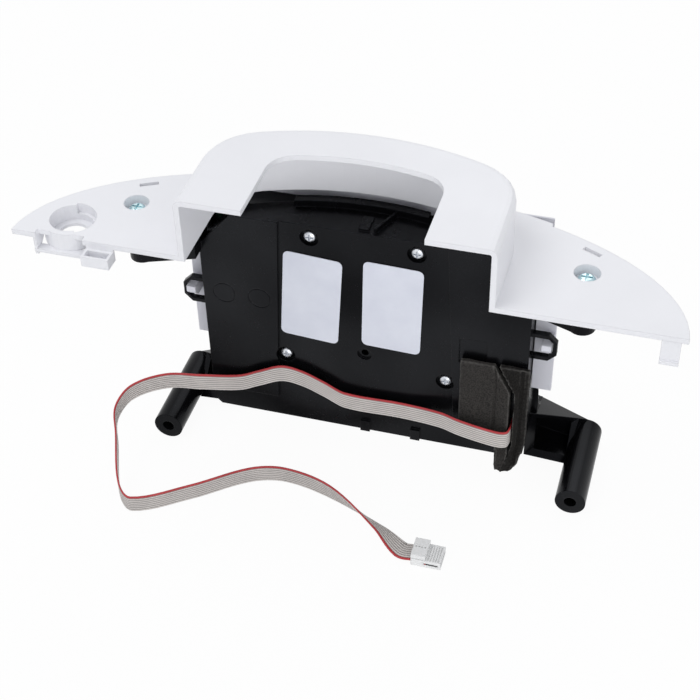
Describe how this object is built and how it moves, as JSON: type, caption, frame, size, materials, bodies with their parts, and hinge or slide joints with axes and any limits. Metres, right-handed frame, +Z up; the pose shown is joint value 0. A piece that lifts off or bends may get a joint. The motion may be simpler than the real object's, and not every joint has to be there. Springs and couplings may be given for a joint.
{
  "type": "control panel head",
  "caption": "Rear-cabled control panel head for a heating appliance: winged white top cover with an open hood, black case on two mounting legs, front display and push keys.",
  "frame": {"origin": "middle of the object, under its legs, at the level of the surface that the legs stand on", "axes": "+X to the right seen from the rear, along the wings; +Y from the rear to the display side; +Z up"},
  "size_m": [0.2992, 0.108, 0.1852],
  "materials": {
    "white_cover": "satin moulded white",
    "black_case": "satin moulded black",
    "white_fascia": "satin moulded white",
    "window_clear": "clear polished",
    "display_green": "unlit display",
    "board_green": "solder resist",
    "connector_black": "matt moulded black",
    "key_grey": "matt moulded grey",
    "plug_white": "natural moulded white",
    "zinc_steel": "bright zinc plate",
    "label_paper": "blank label film",
    "foam_dark": "open-cell foam",
    "ribbon_grey": "ribbed insulation with a red edge"
  },
  "bodies": {
    "head": {"top_cover": "white_cover", "rear_housing": "black_case", "front_chassis": "black_case", "front_fascia": "white_fascia", "display_window": "window_clear", "display_module": "display_green", "main_board": "board_green", "cable_header": "connector_black", "switch_1": "connector_black", "switch_2": "connector_black", "switch_3": "connector_black", "switch_4": "connector_black", "wing_screw_left": "zinc_steel", "wing_screw_right": "zinc_steel", "rear_screw_1": "zinc_steel", "rear_screw_2": "zinc_steel", "rear_screw_3": "zinc_steel", "rear_screw_4": "zinc_steel", "board_screw_1": "zinc_steel", "board_screw_2": "zinc_steel", "board_screw_3": "zinc_steel", "board_screw_4": "zinc_steel", "label_left": "label_paper", "label_right": "label_paper", "foam_left": "foam_dark", "foam_right": "foam_dark", "ribbon_cable": "ribbon_grey", "ribbon_plug": "plug_white", "plug_clip": "plug_white"},
    "key_1": {"key_1": "key_grey"},
    "key_2": {"key_2": "key_grey"},
    "key_3": {"key_3": "key_grey"},
    "key_4": {"key_4": "key_grey"}
  },
  "joints": [
    {"name": "key_1_press", "type": "slide", "parent": "head", "child": "key_1", "axis": [0, -1, 0], "range_m": [0, 0.0007], "stiffness_N_per_m": 1500},
    {"name": "key_2_press", "type": "slide", "parent": "head", "child": "key_2", "axis": [0, -1, 0], "range_m": [0, 0.0007], "stiffness_N_per_m": 1500},
    {"name": "key_3_press", "type": "slide", "parent": "head", "child": "key_3", "axis": [0, -1, 0], "range_m": [0, 0.0007], "stiffness_N_per_m": 1500},
    {"name": "key_4_press", "type": "slide", "parent": "head", "child": "key_4", "axis": [0, -1, 0], "range_m": [0, 0.0007], "stiffness_N_per_m": 1500}
  ]
}
